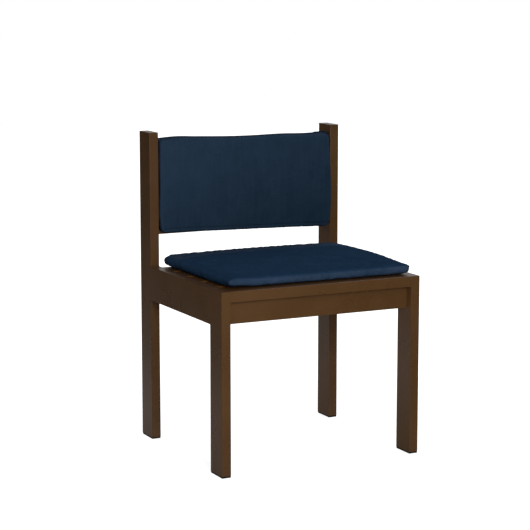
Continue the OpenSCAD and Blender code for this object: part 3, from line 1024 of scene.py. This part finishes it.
def hemStitches(hung, stitching):
    # Each stitch is five rings of four points along X, over half a sine: it comes out of the cloth, lies
    # on it and goes in again
    row = np.argmin(np.abs(hung["length"] - hung["length"][-1] + stitching["fromHem"]))
    line = hung["outer"][:, row]
    pitch = stitching["length"] + stitching["gap"]
    first = hung["x"][0] + stitching["edge"]
    start = np.arange(first, hung["x"][-1] - stitching["edge"] - pitch, pitch)
    u = np.linspace(0, 1, 5)
    x = start[:, None] + u * stitching["length"]
    y, z = (np.interp(x, hung["x"], line[:, k]) for k in (1, 2))
    half = stitching["thick"] / 2
    y = y - half * stitching["sinkShare"] + half * np.sin(np.pi * u)
    ring = half * np.array([(1, 0), (0, 1), (-1, 0), (0, -1)])
    across = np.broadcast_to(x[..., None], x.shape + (len(ring),))
    points = np.stack([across, y[..., None] + ring[:, 0], z[..., None] + ring[:, 1]], axis=-1)
    index = np.arange(len(u) * len(ring)).reshape(len(u), len(ring))
    faces = cells(closedLoop(index.T)).tolist() + [index[0, ::-1].tolist(), index[-1].tolist()]
    return joined([(p.reshape(-1, 3), faces) for p in points])


stitchPoints, stitchFaces = hemStitches(hung, stitching)
makePiece("hood_hem_stitches", stitchPoints * mm, stitchFaces, thread, "back_pad")
print("hem stitches made")


# Camera, light and floor

view = {"place": (-2.0365, -4.0139, 1.1751), "pitch": 80.761, "turn": -26.518, "lens": 127.96}
camera = bpy.data.objects.new("camera", bpy.data.cameras.new("camera"))
camera.data.lens = view["lens"]
camera.data.sensor_width = 36
camera.location = view["place"]
camera.rotation_euler = (math.radians(view["pitch"]), 0, math.radians(view["turn"]))
bpy.context.scene.collection.objects.link(camera)
bpy.context.scene.camera = camera

studio = {
    "softboxes": {
        "key": {"place": (-0.55, -1.92, 0.92), "aim": (0, 0, 0.34), "size": (0.54, 0.54), "power": 24},
        "top": {"place": (1.0, 0.45, 1.8), "aim": (0, 0, 0.45), "size": (0.9, 0.9), "power": 7.5},
    },
    "roomLight": 0.42,
    "roomInGloss": 0.025,
    "backdropInGloss": 0.5,
    "backdropSpan": (0.86, 0.97),
    "backdropWay": (0.44, 0.88, 0.16),  # from the chair to the lit backdrop behind it
    "floorColour": 0.85,
    "floorGlow": 0.7,  # for the camera, under the chair; it is 1 from the end of the glow's span
    "floorGlowSpan": (0.6, 1.0),
    "floorInGloss": 0.31,
    "floorDimInGloss": 0.02,
    "floorGlossAcross": (1, 0.1, 0),  # gloss sees the floor bright behind the chair, but not at its left
    "glossAcrossSpan": (-0.85, -0.35),
    "glossBehindSpan": (-0.9, 0.5),
    "glossFallSpan": (-0.3, 0.1),
    "glossFallTo": 0.65,
    "floorRadius": 9,
    "floorSides": 96,
}


def softbox(name, box):
    lamp = bpy.data.lights.new(name, "AREA")
    lamp.shape = "RECTANGLE"
    lamp.size, lamp.size_y = box["size"]
    lamp.energy = box["power"]
    obj = bpy.data.objects.new(name, lamp)
    toLamp = (np.array(box["place"]) - box["aim"]).tolist()
    turn = Vector(toLamp).to_track_quat("Z", "Y").to_matrix().to_4x4()
    obj.matrix_world = Matrix.Translation(box["place"]) @ turn
    bpy.context.scene.collection.objects.link(obj)


for name, box in studio["softboxes"].items():
    softbox(name, box)


def seenDirectly(tree):
    # 1 for rays from the camera, and for those that gloss and glass send
    path = tree.nodes.new("ShaderNodeLightPath").outputs
    gloss = calc(tree, "MAXIMUM", path["Is Glossy Ray"], path["Is Transmission Ray"])
    return path["Is Camera Ray"], gloss


# White room for the camera. Gloss sees a dim room with the lit backdrop in it, and other rays an even glow
world = bpy.data.worlds.new("studio")
bpy.context.scene.world = world
world.use_nodes = True
tree = world.node_tree
cameraRay, glossRay = seenDirectly(tree)
way = tree.nodes.new("ShaderNodeTexCoord").outputs["Generated"]
towards = vectorCalc(tree, "DOT_PRODUCT", a=way, b=studio["backdropWay"])
inGloss = ranged(tree, towards, *studio["backdropSpan"], studio["roomInGloss"], studio["backdropInGloss"])
evenGlow = calc(tree, "MULTIPLY", calc(tree, "SUBTRACT", 1.0, glossRay), studio["roomLight"])
light = calc(tree, "ADD", evenGlow, calc(tree, "MULTIPLY", glossRay, inGloss))
tree.nodes["Background"].inputs["Color"].default_value = (1, 1, 1, 1)
tree.links.new(calc(tree, "MAXIMUM", cameraRay, light), tree.nodes["Background"].inputs["Strength"])


def makeFloor():
    # White floor: it glows for the camera, a little less round the chair so that the shadow stays. Gloss
    # sees it bright only under and behind the chair
    material, tree, shader, place = newMaterial("pale floor")
    output = tree.nodes["Material Output"]
    tree.nodes.remove(shader)
    diffuse = tree.nodes.new("ShaderNodeBsdfDiffuse")
    away = vectorCalc(tree, "LENGTH", a=place)
    cameraRay, glossRay = seenDirectly(tree)
    level = calc(tree, "MULTIPLY", calc(tree, "SUBTRACT", 1.0, glossRay), studio["floorColour"])
    tree.links.new(level, diffuse.inputs["Color"])
    across = vectorCalc(tree, "DOT_PRODUCT", a=place, b=studio["floorGlossAcross"])
    behind = vectorCalc(tree, "DOT_PRODUCT", a=place, b=(0, 1, 0))
    lit = calc(tree, "MULTIPLY", ranged(tree, across, *studio["glossAcrossSpan"], 0.0, 1.0),
               ranged(tree, behind, *studio["glossBehindSpan"], 0.0, 1.0))
    fall = ranged(tree, across, *studio["glossFallSpan"], 1.0, studio["glossFallTo"])
    lit = calc(tree, "MULTIPLY", lit, fall)
    glow = ranged(tree, away, *studio["floorGlowSpan"], studio["floorGlow"], 1.0)
    forCamera = calc(tree, "MULTIPLY", cameraRay, glow)
    dim = calc(tree, "MULTIPLY_ADD", lit, studio["floorInGloss"], studio["floorDimInGloss"])
    forGloss = calc(tree, "MULTIPLY", glossRay, dim)
    emission = tree.nodes.new("ShaderNodeEmission")
    tree.links.new(calc(tree, "ADD", forCamera, forGloss), emission.inputs["Strength"])
    both = tree.nodes.new("ShaderNodeAddShader")
    tree.links.new(diffuse.outputs[0], both.inputs[0])
    tree.links.new(emission.outputs[0], both.inputs[1])
    tree.links.new(both.outputs[0], output.inputs["Surface"])
    return material


turn = np.linspace(0, 2 * np.pi, studio["floorSides"], endpoint=False)
rim = np.stack([np.cos(turn), np.sin(turn), 0 * turn], axis=1) * studio["floorRadius"]
floorMesh = bpy.data.meshes.new("floor")
floorMesh.from_pydata(rim.tolist(), [], [list(range(len(turn)))])
floorMesh.materials.append(makeFloor())
floor = bpy.data.objects.new("floor", floorMesh)
bpy.context.scene.collection.objects.link(floor)
bpy.context.scene.view_settings.view_transform = "Standard"
print("studio made")
